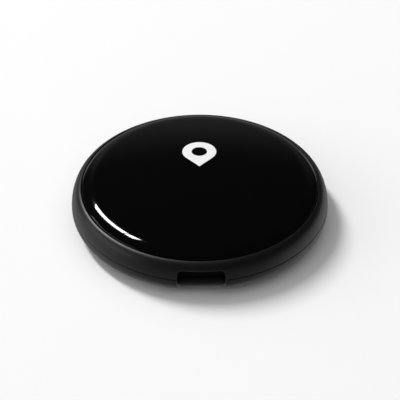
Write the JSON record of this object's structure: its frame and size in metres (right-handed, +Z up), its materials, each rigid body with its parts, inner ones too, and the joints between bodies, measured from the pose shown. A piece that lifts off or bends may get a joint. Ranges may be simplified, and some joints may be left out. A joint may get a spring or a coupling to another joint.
{
  "type": "bluetooth tracker tag",
  "caption": "Round puck-shaped tracker tag: domed press-down cap in a bezel ring, strap notch with a bar at the front, coin-slot battery door underneath.",
  "frame": {"origin": "middle of the base plane, on the tag's round axis", "axes": "+Z up through the cap, -Y towards the strap notch, +X to the right of the notch seen from the front"},
  "size_m": [0.038, 0.0377, 0.0078],
  "materials": {
    "cap_gloss_black": "high gloss moulded",
    "mark_ink": "pad-printed white ink",
    "bezel_satin_black": "satin moulded",
    "housing_satin_black": "satin moulded",
    "bar_satin_black": "satin moulded",
    "door_satin_black": "fine matte texture",
    "seal_silicone": "matte silicone",
    "pad_silicone": "matte silicone",
    "cell_steel": "nickel plated",
    "cell_core": "pressed powder",
    "cell_nylon": "natural nylon",
    "contact_gold": "gold plated",
    "board_laminate": "green solder mask",
    "screw_steel": "zinc plated",
    "switch_steel": "stamped",
    "plunger_black": "moulded",
    "chip_black": "moulded epoxy",
    "crystal_steel": "seam-welded lid",
    "ceramic_white": "fired ceramic",
    "lamp_clear": "clear epoxy",
    "sounder_brass": "rolled brass"
  },
  "bodies": {
    "housing": {"bezel_ring": "bezel_satin_black", "lower_housing": "housing_satin_black", "strap_bar": "bar_satin_black", "negative_contact": "contact_gold", "positive_contact": "contact_gold", "circuit_board": "board_laminate", "board_screw_1": "screw_steel", "board_screw_2": "screw_steel", "board_screw_3": "screw_steel", "switch_body": "switch_steel", "radio_chip": "chip_black", "motion_sensor": "chip_black", "coil": "chip_black", "crystal": "crystal_steel", "chip_antenna": "ceramic_white", "indicator_light": "lamp_clear", "capacitor_1": "ceramic_white", "capacitor_2": "ceramic_white", "capacitor_3": "ceramic_white", "capacitor_4": "ceramic_white", "sounder_spring_1": "contact_gold", "sounder_spring_2": "contact_gold", "return_pad_1": "pad_silicone", "return_pad_2": "pad_silicone", "return_pad_3": "pad_silicone"},
    "cap": {"top_cap": "cap_gloss_black", "printed_mark": "mark_ink", "sounder_disc": "sounder_brass", "sounder_ceramic": "ceramic_white", "pusher_pad": "pad_silicone"},
    "plunger": {"switch_plunger": "plunger_black"},
    "cell": {"cell_can": "cell_steel", "cell_cap": "cell_steel", "cell_core": "cell_core", "cell_gasket": "cell_nylon", "door_seal": "seal_silicone"},
    "door": {"battery_door": "door_satin_black"}
  },
  "joints": [
    {"name": "cap_press", "type": "slide", "parent": "housing", "child": "cap", "axis": [0, 0, -1], "range_m": [0, 0.00025], "stiffness_N_per_m": 6000, "deforming": ["sounder_spring_1", "sounder_spring_2", "return_pad_1", "return_pad_2", "return_pad_3"]},
    {"name": "plunger_press", "type": "slide", "parent": "housing", "child": "plunger", "axis": [0, 0, -1], "range_m": [0, 0.00025]},
    {"name": "cell_drop", "type": "slide", "parent": "housing", "child": "cell", "axis": [0, 0, -1], "range_m": [0, 0.0015]},
    {"name": "door_turn", "type": "hinge", "parent": "cell", "child": "door", "pos_m": [0, 0, 0.00065], "axis": [0, 0, -1], "range_deg": [0, 90]}
  ],
  "couplings": [
    {"joint": "plunger_press", "follows": "cap_press", "ratio": 1},
    {"joint": "door_turn", "follows": "cell_drop", "rad_per_m": 1047.2}
  ]
}
